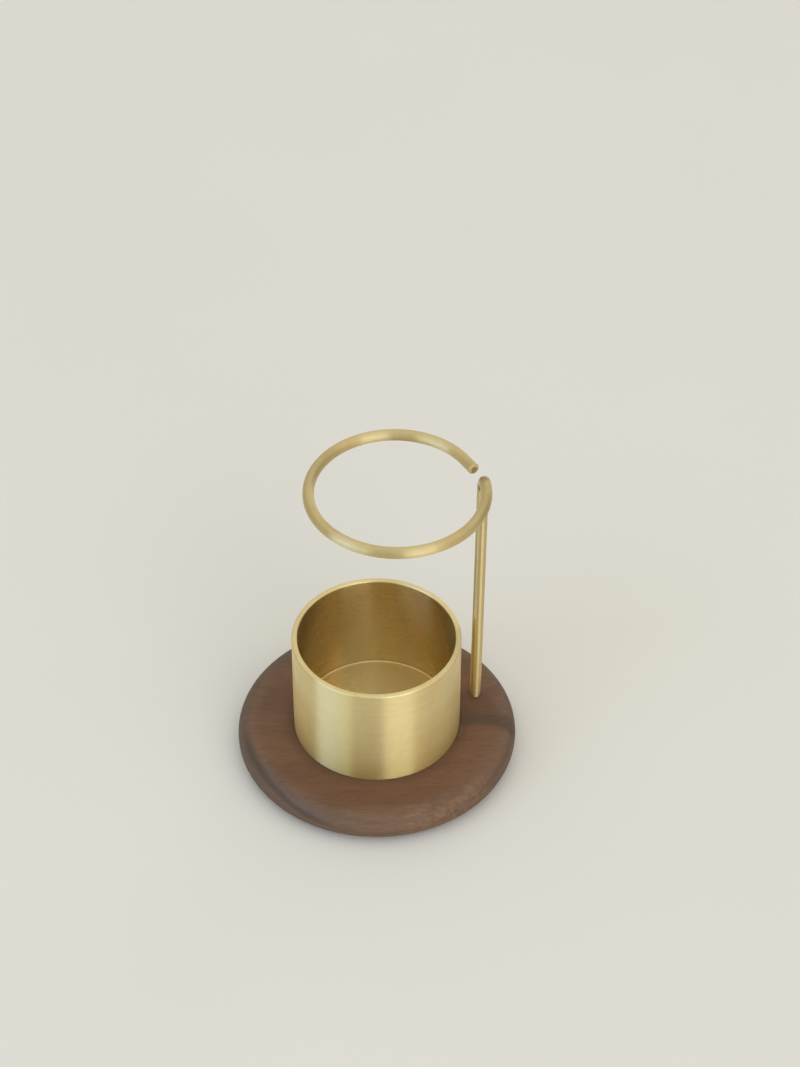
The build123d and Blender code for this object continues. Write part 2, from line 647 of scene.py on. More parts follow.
        # Painted shade: a darker ring of wood round the cup's foot
        tone = recipe.mix(recipe.span(recipe.reach(point), self.painted_shade_collar), tone, self.dark)

        grain = recipe.bump(fibres, self.fibre_height, self.relief)
        return recipe.surface(
            Base_Color=tone,
            Roughness=recipe.span(fibres, self.fibre_roughness),
            IOR=self.ior,
            Normal=recipe.bump(recipe.minus(1.0, pores), self.pore_depth, self.relief, grain),
        )


@dataclass(frozen=True)
class Brass:
    """Bare brass with a satin of fine lines and a little tarnish, in millimetres."""

    name: str
    metal: Colour
    tarnish: Colour
    roughness: float
    line_pitch: float
    line_depth: float
    row_depth: float = 2.0
    anisotropy: float = 1.0
    lacquer: float = 0.5
    lacquer_roughness: float = 0.2
    fine: Noise = Noise(1.0, 3.0, 0.65)
    broad: Noise = Noise(0.22, 3.0, 0.62)
    patches: Noise = Noise(1.0, 3.0, 0.5, (0.09, 0.09, 0.06))
    cloud: Noise = Noise(0.55, 3.0, 0.6)
    specks: Noise = Noise(1.3, 2.0, 0.5)
    speck_edge: Ramp = Ramp(0.70, 0.78)
    patch_tarnish: Ramp = Ramp(0.35, 0.75, 0.0, 0.24)
    broad_tarnish: Ramp = Ramp(0.3, 0.7, 0.05, 0.32)
    cloud_tarnish: Ramp = Ramp(0.4, 0.7, 0.0, 0.16)
    speck_tarnish: float = 0.10
    fine_roughness: Ramp = Ramp(0.25, 0.75, -0.03, 0.03)
    patch_roughness: Ramp = Ramp(0.3, 0.8, -0.02, 0.04)

    def across_lines(self, recipe: Recipe) -> Socket:
        """Return a point in steps of the line pitch, quick across the lines and slow along them."""
        raise NotImplementedError

    def tangent(self, recipe: Recipe) -> Socket:
        """Return the tangent that the shader's stretched highlight starts from."""
        raise NotImplementedError

    def turned_by(self, recipe: Recipe) -> Number:
        """Return the share of a full turn between that tangent and the stretched highlight."""
        raise NotImplementedError

    def local_tone(self, recipe: Recipe, tone: Socket) -> Socket:
        """Return the colour after what only one piece shows."""
        return tone

    def local_roughness(self, recipe: Recipe, rough: Socket) -> Socket:
        """Return the roughness after what only one piece shows."""
        return rough

    def line_share(self, recipe: Recipe) -> Number:
        """Return how deep the lines are cut, from 0 to 1."""
        return 1.0

    def material(self) -> bpy.types.Material:
        """Make the brass of nodes: fine and broad lines, cloudy tarnish and small specks.

        Returns:
            The finished material.
        """
        recipe = Recipe(self.name)
        point = recipe.place()
        across = self.across_lines(recipe)
        fine = recipe.noise(across, self.fine)
        broad = recipe.noise(across, self.broad)
        patches = recipe.noise(point, self.patches)
        cloud = recipe.noise(point, self.cloud)
        specks = recipe.span(recipe.noise(point, self.specks), self.speck_edge)

        # Tarnish share of the brass: patches, broad lines, cloud and small specks
        tarnish_and_painted_highlight = recipe.span(patches, self.patch_tarnish)
        tarnish_and_painted_highlight = recipe.plus(tarnish_and_painted_highlight, recipe.span(broad, self.broad_tarnish))
        tarnish_and_painted_highlight = recipe.plus(tarnish_and_painted_highlight, recipe.span(cloud, self.cloud_tarnish))
        tarnish_and_painted_highlight = recipe.plus(tarnish_and_painted_highlight, recipe.times(specks, self.speck_tarnish))
        rough = recipe.plus(
            recipe.span(fine, self.fine_roughness.lifted(self.roughness)),
            recipe.span(patches, self.patch_roughness),
        )
        cut = self.line_share(recipe)
        satin = recipe.bump(recipe.times(fine, cut), self.line_depth)
        rows = recipe.times(broad, cut)
        return recipe.surface(
            Base_Color=self.local_tone(recipe, recipe.mix(tarnish_and_painted_highlight, self.metal, self.tarnish)),
            Metallic=1.0,
            Roughness=self.local_roughness(recipe, rough),
            Anisotropic=self.anisotropy,
            Anisotropic_Rotation=self.turned_by(recipe),
            Tangent=self.tangent(recipe),
            Coat_Weight=self.lacquer,
            Coat_Roughness=self.lacquer_roughness,
            Normal=recipe.bump(rows, self.row_depth * self.line_depth, below=satin),
        )


@dataclass(frozen=True)
class TurnedBrass(Brass):
    """Brass from the lathe: lines round Z, and below the polished rim a smoother inside, darkened
    with painted shade.
    """

    name: str = "brass_turned"
    metal: Colour = (0.885, 0.725, 0.367, 1.0)
    tarnish: Colour = (0.745, 0.57, 0.245, 1.0)
    roughness: float = 0.39
    line_pitch: float = 0.09
    line_depth: float = 0.0009
    line_drift: float = 0.12
    # Painted shade: darker metal laid on the inside of the cup below the rim
    inner_shade_metal: Colour = (0.66, 0.505, 0.235, 1.0)
    inner_roughness: float = 0.28
    inner_line_share: float = 0.2
    inner_radius: float = 21.0
    inner_fade: float = 0.3
    rim_height: float = 39.6
    rim_width: float = 0.6
    # Painted shade: a darker, browner metal towards the cup's foot
    foot_shade_metal: Colour = (0.82, 0.64, 0.25, 1.0)
    foot_shade_height: Ramp = Ramp(20.0, 9.0, 0.0, 0.6)

    def across_lines(self, recipe: Recipe) -> Socket:
        """Step with the height and with the distance from the axis.

        Args:
            recipe: The material's nodes.

        Returns:
            The point that the lines are read at.
        """
        point = recipe.place()
        x, y, z = recipe.split(point)
        along = recipe.plus(z, recipe.reach(point))
        return recipe.join(
            recipe.math(Operation.DIVIDE, along, self.line_pitch),
            recipe.times(x, self.line_drift),
            recipe.times(y, self.line_drift),
        )

    def tangent(self, recipe: Recipe) -> Socket:
        """Return the direction round the axis."""
        return recipe.node("ShaderNodeTangent", direction_type="RADIAL", axis="Z").outputs[0]

    def turned_by(self, recipe: Recipe) -> Number:
        """Turn the highlight by a quarter, across the lines."""
        return QUARTER

    def inside(self, recipe: Recipe) -> Socket:
        """Mark the inner wall and the floor below the rim.

        Args:
            recipe: The material's nodes.

        Returns:
            1 there, and 0 elsewhere.
        """
        point = recipe.place()
        within = Ramp(self.inner_radius + self.inner_fade, self.inner_radius)
        below = Ramp(self.rim_height, self.rim_height - self.rim_width)
        height = recipe.split(point)[2]
        return recipe.times(recipe.span(recipe.reach(point), within), recipe.span(height, below))

    def local_tone(self, recipe: Recipe, tone: Socket) -> Socket:
        """Darken the metal towards the foot as painted shade, and lay the darker metal of the
        inside, painted shade too, below the rim.

        Args:
            recipe: The material's nodes.
            tone: The brass's colour so far.

        Returns:
            The colour with the foot and the inside.
        """
        # Painted shade: the metal darkens towards the foot
        foot_shade = recipe.span(recipe.split(recipe.place())[2], self.foot_shade_height)
        tone = recipe.mix(foot_shade, tone, self.foot_shade_metal)
        # Painted shade: the darker metal of the inside below the rim
        return recipe.mix(self.inside(recipe), tone, self.inner_shade_metal)

    def local_roughness(self, recipe: Recipe, rough: Socket) -> Socket:
        """Make the inside smoother than the outside by one even step."""
        step = recipe.times(self.inside(recipe), self.roughness - self.inner_roughness)
        return recipe.minus(rough, step)

    def line_share(self, recipe: Recipe) -> Number:
        """Leave only a little of the lines' depth on the smoother inside."""
        return recipe.span(self.inside(recipe), Ramp(0.0, 1.0, 1.0, self.inner_line_share))


@dataclass(frozen=True)
class DrawnBrass(Brass):
    """Brass rod: drawn, so its lines run along it, but ground round on its straight post."""

    name: str = "brass_drawn"
    metal: Colour = (0.755, 0.605, 0.30, 1.0)
    tarnish: Colour = (0.63, 0.47, 0.20, 1.0)
    roughness: float = 0.44
    line_pitch: float = 0.10
    line_depth: float = 0.0006
    ground_length: float = 80.0
    ground_fade: float = 1.5
    ground_drift: float = 0.35
    drawn_drift: float = 0.08

    def reading(self, recipe: Recipe) -> Socket:
        """Return the length along the rod and the place across it, in millimetres."""
        kept = recipe.node("ShaderNodeAttribute", attribute_name=RodSkin.READING)
        return kept.outputs["Vector"]

    def drawn_share(self, recipe: Recipe) -> Socket:
        """Return 0 on the ground post and 1 on the drawn bend and ring."""
        length = recipe.split(self.reading(recipe))[0]
        return recipe.span(length, Ramp(self.ground_length, self.ground_length + self.ground_fade))

    def across_lines(self, recipe: Recipe) -> Socket:
        """Step along the ground post, and across the drawn ring.

        Args:
            recipe: The material's nodes.

        Returns:
            The point that the lines are read at.
        """
        step = 1.0 / self.line_pitch
        reading = self.reading(recipe)
        ground = recipe.stretch(reading, (step, self.ground_drift, self.ground_drift))
        drawn = recipe.stretch(reading, (self.drawn_drift, step, step))
        return recipe.mix(self.drawn_share(recipe), ground, drawn, Mixed.VECTOR)

    def tangent(self, recipe: Recipe) -> Socket:
        """Return the direction along the rod."""
        along = recipe.node("ShaderNodeTangent", direction_type="UV_MAP", uv_map=RodSkin.UV_NAME)
        return along.outputs[0]

    def turned_by(self, recipe: Recipe) -> Number:
        """Turn the highlight by a quarter where the lines run along the rod."""
        return recipe.times(self.drawn_share(recipe), QUARTER)


@dataclass(frozen=True)
class Rubber:
    """Matt black rubber with a fine moulded grain and a little dust, in millimetres."""

    black: Colour = colour(38, 37, 36)
    dusty: Colour = colour(66, 64, 61)
    dust: Noise = Noise(0.25, 4.0, 0.6)
    dust_tone: Ramp = Ramp(0.45, 0.8, 0.0, 0.6)
    dust_roughness: Ramp = Ramp(0.3, 0.8, 0.72, 0.9)
    ior: float = 1.5
    grain: Noise = Noise(4.0, 3.0, 0.6)
    grain_height: float = 0.05
    relief: float = 0.7

    def material(self) -> bpy.types.Material:
        """Make the rubber of nodes: moulded grain and a little dust.

        Returns:
            The finished material.
        """
        recipe = Recipe("rubber_matt")
        point = recipe.place()
        dust = recipe.noise(point, self.dust)
        grain = recipe.noise(point, self.grain)
        return recipe.surface(
            Base_Color=recipe.mix(recipe.span(dust, self.dust_tone), self.black, self.dusty),
            Roughness=recipe.span(dust, self.dust_roughness),
            IOR=self.ior,
            Normal=recipe.bump(grain, self.grain_height, self.relief),
        )


@dataclass(frozen=True)
class ZincSteel:
    """Dull zinc plated steel, as on small screws and washers, in millimetres."""

    plate: Colour = (0.60, 0.61, 0.62, 1.0)
    dull: Colour = (0.42, 0.43, 0.44, 1.0)
    cloud: Noise = Noise(0.8, 4.0, 0.6)
    cloud_tone: Ramp = Ramp(0.3, 0.7)
    cloud_roughness: Ramp = Ramp(0.3, 0.7, 0.3, 0.45)
    pits: Noise = Noise(9.0, 2.0, 0.5)
    pit_depth: float = 0.004
    relief: float = 0.6

    def material(self) -> bpy.types.Material:
        """Make the steel of nodes: cloudy plating with small pits.

        Returns:
            The finished material.
        """
        recipe = Recipe("zinc_steel")
        point = recipe.place()
        cloud = recipe.noise(point, self.cloud)
        pits = recipe.noise(point, self.pits)
        return recipe.surface(
            Base_Color=recipe.mix(recipe.span(cloud, self.cloud_tone), self.plate, self.dull),
            Metallic=1.0,
            Roughness=recipe.span(cloud, self.cloud_roughness),
            Normal=recipe.bump(pits, self.pit_depth, self.relief),
        )


@dataclass(frozen=True)
class PaleFloor:
    """Matt painted table top, pale and slightly warm, with painted shade that darkens it far from
    the holder.

    Lengths are in millimetres.
    """

    paint: Colour = colour(224, 219, 209)
    shade: Colour = colour(221, 216, 206)
    # Painted shade: the floor darkens to this tone far from the holder
    far_painted_shade: Colour = colour(178, 176, 170)
    patches: Noise = Noise(0.012, 2.0, 0.5)
    far_reach: Ramp = Ramp(700.0, 2300.0)
    roughness: float = 0.9
    gloss: float = 0.1

    def material(self) -> bpy.types.Material:
        """Make the paint of nodes: two near tones in broad patches, and the darker far tone of
        painted shade.

        Returns:
            The finished material.
        """
        recipe = Recipe("floor_paint")
        point = recipe.place()
        near = recipe.mix(recipe.noise(point, self.patches), self.paint, self.shade)
        # Painted shade: the floor darkens with distance from the holder
        away = recipe.span(recipe.reach(point), self.far_reach)
        return recipe.surface(
            Base_Color=recipe.mix(away, near, self.far_painted_shade),
            Roughness=self.roughness,
            Specular_IOR_Level=self.gloss,
        )


def outward(angle: float) -> Vector:
    """Return the level direction at an angle from +X towards +Y."""
    return Vector((math.cos(angle), math.sin(angle), 0.0))


def clockwise(angle: float) -> Vector:
    """Return the level direction of clockwise travel at an angle from +X."""
    return Vector((math.sin(angle), -math.cos(angle), 0.0))


def circle(radius: float, height: float, sides: int) -> Ring:
    """Return the points of a level circle round Z, anticlockwise seen from above."""
    return polar_ring(lambda angle: radius, lambda angle: height, sides)


def polar_ring(
    radius: Callable[[float], float], height: Callable[[float], float], sides: int
) -> Ring:
    """Make a ring round Z whose radius and height depend on the angle.

    Args:
        radius: Radius at an angle.
        height: Height at an angle.
        sides: Number of points.

    Returns:
        The points, anticlockwise seen from above.
    """
    ring = []
    for side in range(sides):
        angle = FULL_TURN * side / sides
        reach = radius(angle)
        ring.append(Vector((reach * math.cos(angle), reach * math.sin(angle), height(angle))))
    return ring


class Skin:
    """A closed mesh made of rings of equally many points, one after another."""

    def __init__(self, sides: int) -> None:
        """Start an empty skin.

        Args:
            sides: Points in each ring.
        """
        self.sides = sides
        self.points: list[Vector] = []
        self.faces: list[tuple[int, ...]] = []
        self.first_ring: list[int] = []
        self.last_ring: list[int] = []

    def ring(self, points: Ring) -> None:
        """Add a ring and join it to the one before it.

        Args:
            points: The ring's points, in order.
        """
        start = len(self.points)
        self.points.extend(points)
        ring = list(range(start, start + self.sides))
        if self.last_ring:
            self.stitch(self.last_ring, ring)
        else:
            self.first_ring = ring
        self.last_ring = ring

    def stitch(self, before: list[int], after: list[int]) -> None:
        """Join two rings with four-sided faces.

        Args:
            before: Point numbers of one ring.
            after: Point numbers of the next.
        """
        for side in range(self.sides):
            following = (side + 1) % self.sides
            self.faces.append((before[side], before[following], after[following], after[side]))

    def pole(self, point: Vector, at_start: bool) -> None:
        """Close one end of the skin with a fan to a point.

        Args:
            point: The middle of the fan.
            at_start: Whether the fan closes the first ring or the last.
        """
        middle = len(self.points)
        self.points.append(point)
        ring = self.first_ring if at_start else self.last_ring
        for side in range(self.sides):
            following = (side + 1) % self.sides
            if at_start:
                self.faces.append((middle, ring[following], ring[side]))
            else:
                self.faces.append((ring[side], ring[following], middle))

    def cap(self, first: Vector, last: Vector) -> None:
        """Close both ends, the first ring with a fan to one point and the last to another."""
        self.pole(first, at_start=True)
        self.pole(last, at_start=False)

    def close(self) -> None:
        """Join the last ring to the first, as on a washer."""
        self.stitch(self.last_ring, self.first_ring)

    def mesh(self, name: str) -> bpy.types.Object:
        """Make the mesh object, smooth but for its sharp edges.

        Args:
            name: Name of the object.

        Returns:
            The object, linked to the scene.
        """
        data = bpy.data.meshes.new(name)
        data.from_pydata([tuple(point) for point in self.points], [], self.faces)
        data.validate()
        data.shade_smooth()
        data.set_sharp_from_angle(angle=SHARP_ANGLE)
        data.update()
        made = bpy.data.objects.new(name, data)
        bpy.context.scene.collection.objects.link(made)
        return made


@dataclass(frozen=True)
class Station:
    """A place on a rod's centreline, the heading there and the length from the foot's tip."""

    place: Vector
    heading: Vector
    length: float


class RodSkin(Skin):
    """A rod's skin, which also keeps each point's length along the rod and place across it."""

    READING = "rod_point"
    UV_NAME = "rod_uv"
    FLAT_LENGTH = 1e-6

    def __init__(self, sides: int) -> None:
        """Start an empty skin with a number of points round the rod."""
        super().__init__(sides)
        self.readings: list[Triple] = []

    def band(self, station: Station, across: Vector, radius: float) -> None:
        """Add a ring square to the rod.

        Args:
            station: Where on the rod it goes.
            across: The direction from the centreline to the ring's first point.
            radius: Radius of the ring.
        """
        beside = station.heading.cross(across)
        ring = []
        for side in range(self.sides):
            angle = FULL_TURN * side / self.sides
            cosine, sine = math.cos(angle), math.sin(angle)
            ring.append(station.place + across * (radius * cosine) + beside * (radius * sine))
            self.readings.append((station.length / MM, radius / MM * cosine, radius / MM * sine))
        self.ring(ring)

    def cap_rod(self, first: Station, last: Station) -> None:
        """Close both ends of the rod with fans to the middle."""
        self.cap(first.place, last.place)
        self.readings += [(station.length / MM, 0.0, 0.0) for station in (first, last)]

    def mesh(self, name: str) -> bpy.types.Object:
        """Make the mesh object with its readings and its unrolled surface.

        Args:
            name: Name of the object.

        Returns:
            The object, linked to the scene.
        """
        rod = super().mesh(name)
        kept = rod.data.attributes.new(self.READING, "FLOAT_VECTOR", "POINT")
        for item, reading in zip(kept.data, self.readings):
            item.vector = reading
        self.unroll(rod.data)
        return rod

    def unroll(self, mesh: bpy.types.Mesh) -> None:
        """Lay the surface flat, length along U and the way round along V.

        The flat of the cut end keeps its own plane instead.

        Args:
            mesh: The rod's mesh.
        """
        layer = mesh.uv_layers.new(name=self.UV_NAME)
        whole = max(length for length, _, _ in self.readings)
        for face in mesh.polygons:
            readings = [self.readings[vertex] for vertex in face.vertices]
            if min(length for length, _, _ in readings) > whole - self.FLAT_LENGTH:
                for loop, (_, across, beside) in zip(face.loop_indices, readings):
                    layer.data[loop].uv = (across / whole, beside / whole)
                continue
            turns = [math.atan2(beside, across) / FULL_TURN % 1.0 for _, across, beside in readings]
            wraps = max(turns) - min(turns) > HALF
            for loop, turn, (length, _, _) in zip(face.loop_indices, turns, readings):
                layer.data[loop].uv = (length / whole, turn + float(wraps and turn < HALF))


class Profile:
    """The half section of a turned piece, as radius and height from inside to outside."""

    ARC_STEPS = 8
    HOLD = 0.06 * MM
    LONG_RUN = 4.0 * HOLD

    def __init__(self, radius: float, height: float) -> None:
        """Start the section at a distance from the axis and a height."""
        self.points: list[tuple[float, float]] = [(radius, height)]

    def line(self, radius: float, height: float) -> None:
        """Go straight to a point, with a holding point near each end of a long run.

        Args:
            radius: Distance of the point from the axis.
            height: Height of the point.
        """
        from_radius, from_height = self.points[-1]
        along_radius, along_height = radius - from_radius, height - from_height
        length = math.hypot(along_radius, along_height)
        if length > self.LONG_RUN:
            for share in (self.HOLD / length, 1.0 - self.HOLD / length):
                holding = (from_radius + share * along_radius, from_height + share * along_height)
                self.points.append(holding)
        self.points.append((radius, height))

    def arc(self, middle: tuple[float, float], sweep: float, steps: int = ARC_STEPS) -> None:
        """Turn round a middle point.

        Args:
            middle: Radius and height of the arc's middle.
            sweep: Angle turned through, positive from the radius towards the height.
            steps: Stretches that the arc is made of.
        """
        from_radius, from_height = self.points[-1]
        reach = math.hypot(from_radius - middle[0], from_height - middle[1])
        start = math.atan2(from_height - middle[1], from_radius - middle[0])
        for step in range(1, steps + 1):
            angle = start + sweep * step / steps
            self.points.append(
                (middle[0] + reach * math.cos(angle), middle[1] + reach * math.sin(angle))
            )

    def facing_out(self) -> list[tuple[float, float]]:
        """Put the points in the order that turns the mesh's faces outward.

        Returns:
            The points, backwards where the section runs clockwise.
        """
        area = 0.0
        following = self.points[1:] + self.points[:1]
        for (radius, height), (next_radius, next_height) in zip(self.points, following):
            area += radius * next_height - next_radius * height
        return self.points if area > 0.0 else self.points[::-1]

    def turn(self, name: str, sides: int) -> bpy.types.Object:
        """Turn the section round Z into a closed mesh.

        Args:
            name: Name of the object.
            sides: Stretches round the axis.

        Returns:
            The turned piece.
        """
        skin = Skin(sides)
        points = self.facing_out()
        on_axis = [index for index, (radius, _) in enumerate(points) if radius < ON_AXIS]
        for radius, height in points:
            if radius >= ON_AXIS:
                skin.ring(circle(radius, height, sides))
        for index in on_axis:
            skin.pole(UPWARD * points[index][1], at_start=index == 0)
        if not on_axis:
            skin.close()
        return skin.mesh(name)


def dress(
    piece: bpy.types.Object, node: str, material: bpy.types.Material
) -> bpy.types.Object:
    """Give a new piece its material and let it stand for its node of the part.

    Args:
        piece: The new piece.
        node: The node that it stands for.
        material: The finish.

    Returns:
        The piece.
    """
    piece.data.materials.append(material)
    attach(piece, "root")
    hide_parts(node)
    return piece


class Route:
    """Places and headings along a rod's centreline, in even steps."""

    FEWEST_STEPS = 2

    def __init__(self, place: Vector, heading: Vector, step: float) -> None:
        """Start the route at a place and heading, with the distance between two places."""
        self.step = step
        self.line = [(place, heading)]

    def steps(self, length: float) -> int:
        """Return the number of steps that a length is cut into."""
        return max(self.FEWEST_STEPS, round(length / self.step))

    def run(self, start: Vector, heading: Vector, length: float) -> None:
        """Add a straight run.

        Args:
            start: Where the run starts.
            heading: Its direction.
            length: Its length.
        """
        steps = self.steps(length)
        for index in range(1, steps + 1):
            self.line.append((start + heading * (length * index / steps), heading))

    def arc(self, middle: Vector, radius: float, start: float, sweep: float) -> None:
        """Add a level clockwise arc.

        Args:
            middle: The arc's middle.
            radius: Its radius.
            start: The angle where it starts.
            sweep: The angle that it turns through.
        """
        steps = self.steps(radius * sweep)
        for index in range(1, steps + 1):
            angle = start - sweep * index / steps
            self.line.append((middle + outward(angle) * radius, clockwise(angle)))

    def bend(self, start: Vector, heading: Vector, to_heading: Vector, reach: float) -> None:
        """Add a bend of one radius from one heading to another, in steps of half the length.

        Args:
            start: Where the bend starts.
            heading: The heading there.
            to_heading: The heading that the bend ends in.
            reach: Distance from the bend's start to the corner of both headings.
        """
        turn = heading.angle(to_heading)
        radius = reach / math.tan(turn / 2.0)
        side = (to_heading - heading * heading.dot(to_heading)).normalized()
        pivot = start + side * radius
        steps = self.steps(2.0 * radius * turn)
        for index in range(1, steps + 1):
            angle = turn * index / steps
            cosine, sine = math.cos(angle), math.sin(angle)
            place = pivot - side * (radius * cosine) + heading * (radius * sine)
            self.line.append((place, heading * cosine + side * sine))


@dataclass
class BentRod:
    """One 3 mm rod: tapered foot, post, tight bend, open ring and closing tail."""

    radius: float = 1.5 * MM
    post_angle: float = math.radians(19.2)
    post_radius: float = 28.5 * MM
    post_lean: float = 0.45 * MM
    ring_rise: float = 80.6 * MM
    bend_reach: float = 5.6 * MM
    ring_radius: float = 22.5 * MM
    tail_radius: float = 21.25 * MM
    tail_sweep: float = math.radians(92.0)
    tail_straight: float = 4.5 * MM
    end_gap: float = 0.4 * MM
    end_round: float = 0.6 * MM
    round_steps: int = 6
    face_shares: tuple[float, ...] = (0.7, 0.4, 0.1)
    foot_depth: float = 5.0 * MM
    taper_length: float = 13.0 * MM
    tip_radius: float = 1.3 * MM
    hole_gap: float = 0.03 * MM
    hole_chamfer: float = 0.15 * MM
    drill_above: float = 2.0 * MM
    drill_sides: int = 64
    sides: int = 48
    step: float = 0.5 * MM

    def foot(self) -> Vector:
        """Return where the rod's axis meets the top of the base."""
        return outward(self.post_angle) * self.post_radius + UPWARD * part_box("base")[1].z

    def corner(self) -> Vector:
        """Return where the post's line and the ring's first heading meet."""
        place = outward(self.post_angle) * (self.post_radius + self.post_lean)
        return place + Vector((0.0, 0.0, self.foot().z + self.ring_rise))

    def rise(self) -> Vector:
        """Return the direction of the post, upwards."""
        return (self.corner() - self.foot()).normalized()

    def tip(self) -> Vector:
        """Return the middle of the foot's lower end."""
        return self.foot() - self.rise() * self.foot_depth

    def bend_start(self) -> Vector:
        """Return where the straight post ends."""
        return self.corner() - self.rise() * self.bend_reach

    def straight_length(self) -> float:
        """Return the length from the tip of the foot to the start of the bend."""
        return (self.bend_start() - self.tip()).length

    def centreline(self) -> list[tuple[Vector, Vector]]:
        """Lay the route from the tip of the foot to the cut end.

        Returns:
            Places and headings along the rod.
        """
        rise = self.rise()
        route = Route(self.tip(), rise, self.step)
        route.run(self.tip(), rise, self.straight_length())

        start_angle = self.post_angle - math.atan(self.bend_reach / self.ring_radius)
        route.bend(self.bend_start(), rise, clockwise(start_angle), self.bend_reach)

        end_share = (self.end_gap + self.tail_straight) / self.tail_radius
        straight_angle = self.post_angle + end_share - FULL_TURN
        tail_angle = straight_angle + self.tail_sweep
        to_centre = math.hypot(self.ring_radius, self.bend_reach)
        centre = self.corner() - outward(self.post_angle) * to_centre
        route.arc(centre, self.ring_radius, start_angle, start_angle - tail_angle)
        tail_centre = centre + outward(tail_angle) * (self.ring_radius - self.tail_radius)
        route.arc(tail_centre, self.tail_radius, tail_angle, self.tail_sweep)
        route.run(*route.line[-1], self.tail_straight)
        return route.line

    def stations(self) -> list[Station]:
        """Measure the length along the centreline, with more stations on the cut end's round.

        Returns:
            The stations from the tip of the foot to the cut end.
        """
        line = self.centreline()
        stations = [Station(*line[0], 0.0)]
        for (before, _), (place, heading) in zip(line, line[1:]):
            length = stations[-1].length + (place - before).length
            stations.append(Station(place, heading, length))
        end = stations[-1]
        for step in range(self.round_steps):
            back = self.end_round * (1.0 - math.sin(QUARTER_TURN * step / self.round_steps))
            stations.append(Station(end.place - end.heading * back, end.heading, end.length - back))
        return sorted(stations, key=lambda station: station.length)

    def tapered(self, from_tip: float) -> float:
        """Return the radius of the tapered foot at a distance from its tip."""
        share = min(1.0, from_tip / self.taper_length)
        return self.tip_radius + (self.radius - self.tip_radius) * share

    def rod_radius(self, from_tip: float, to_end: float) -> float:
        """Work out the rod's radius along its length.

        Args:
            from_tip: Distance from the tip of the foot.
            to_end: Distance to the cut end.

        Returns:
            The radius there, with the foot's taper and the cut end's round.
        """
        into_round = max(0.0, self.end_round - to_end)
        drop = self.end_round - math.sqrt(max(0.0, self.end_round**2 - into_round**2))
        return min(self.tapered(from_tip), self.radius - drop)

    def build(self) -> bpy.types.Object:
        """Sweep the rod along its centreline and give it its satin.

        Returns:
            The dressed rod.
        """
        stations = self.stations()
        end = stations[-1]
        skin = RodSkin(self.sides)
        across = clockwise(self.post_angle)
        heading_before = stations[0].heading
        for station in stations:
            heading = station.heading
            across = heading_before.rotation_difference(heading) @ across
            across = (across - heading * across.dot(heading)).normalized()
            heading_before = heading
            radius = self.rod_radius(station.length, end.length - station.length)
            skin.band(station, across, radius)

        # Rings on the flat of the cut end keep its finish even right up to the middle
        flat = self.radius - self.end_round
        for share in self.face_shares:
            skin.band(end, across, flat * share)
        skin.cap_rod(stations[0], end)
        finish = DrawnBrass(ground_length=self.straight_length() / MM)
        return dress(skin.mesh("brass_rod"), "ring_wire", finish.material())

    def drill(self) -> bpy.types.Object:
        """Make the cutter for the rod's tapered hole and its small countersink.

        Returns:
            The cutter, in place.
        """
        at_top = self.tapered(self.foot_depth) + self.hole_gap
        levels = (
            (-self.foot_depth, self.tip_radius + self.hole_gap),
            (-self.hole_chamfer, at_top),
            (self.drill_above, at_top + self.hole_chamfer + self.drill_above),
        )
        tilt = UPWARD.rotation_difference(self.rise()).to_matrix().to_4x4()
        to_foot = Matrix.Translation(self.foot()) @ tilt
        cutter = Skin(self.drill_sides)
        for height, radius in levels:
            cutter.ring([to_foot @ point for point in circle(radius, height, cutter.sides)])
        cutter.cap(to_foot @ (UPWARD * levels[0][0]), to_foot @ (UPWARD * levels[-1][0]))
        return cutter.mesh("foot_drill")

    def bore(self, disc: bpy.types.Object) -> None:
        """Cut the rod's hole from the base.

        Args:
            disc: The turned base.
        """
        drill = self.drill()
        cut = disc.modifiers.new("foot_hole", "BOOLEAN")
        cut.operation = "DIFFERENCE"
        cut.solver = "EXACT"
        cut.object = drill
        bpy.context.view_layer.update()
        evaluated = disc.evaluated_get(bpy.context.evaluated_depsgraph_get())
        cut_mesh = bpy.data.meshes.new_from_object(evaluated)
        disc.modifiers.clear()
        disc.data = cut_mesh
        disc.data.set_sharp_from_angle(angle=SHARP_ANGLE)
        bpy.data.objects.remove(drill)


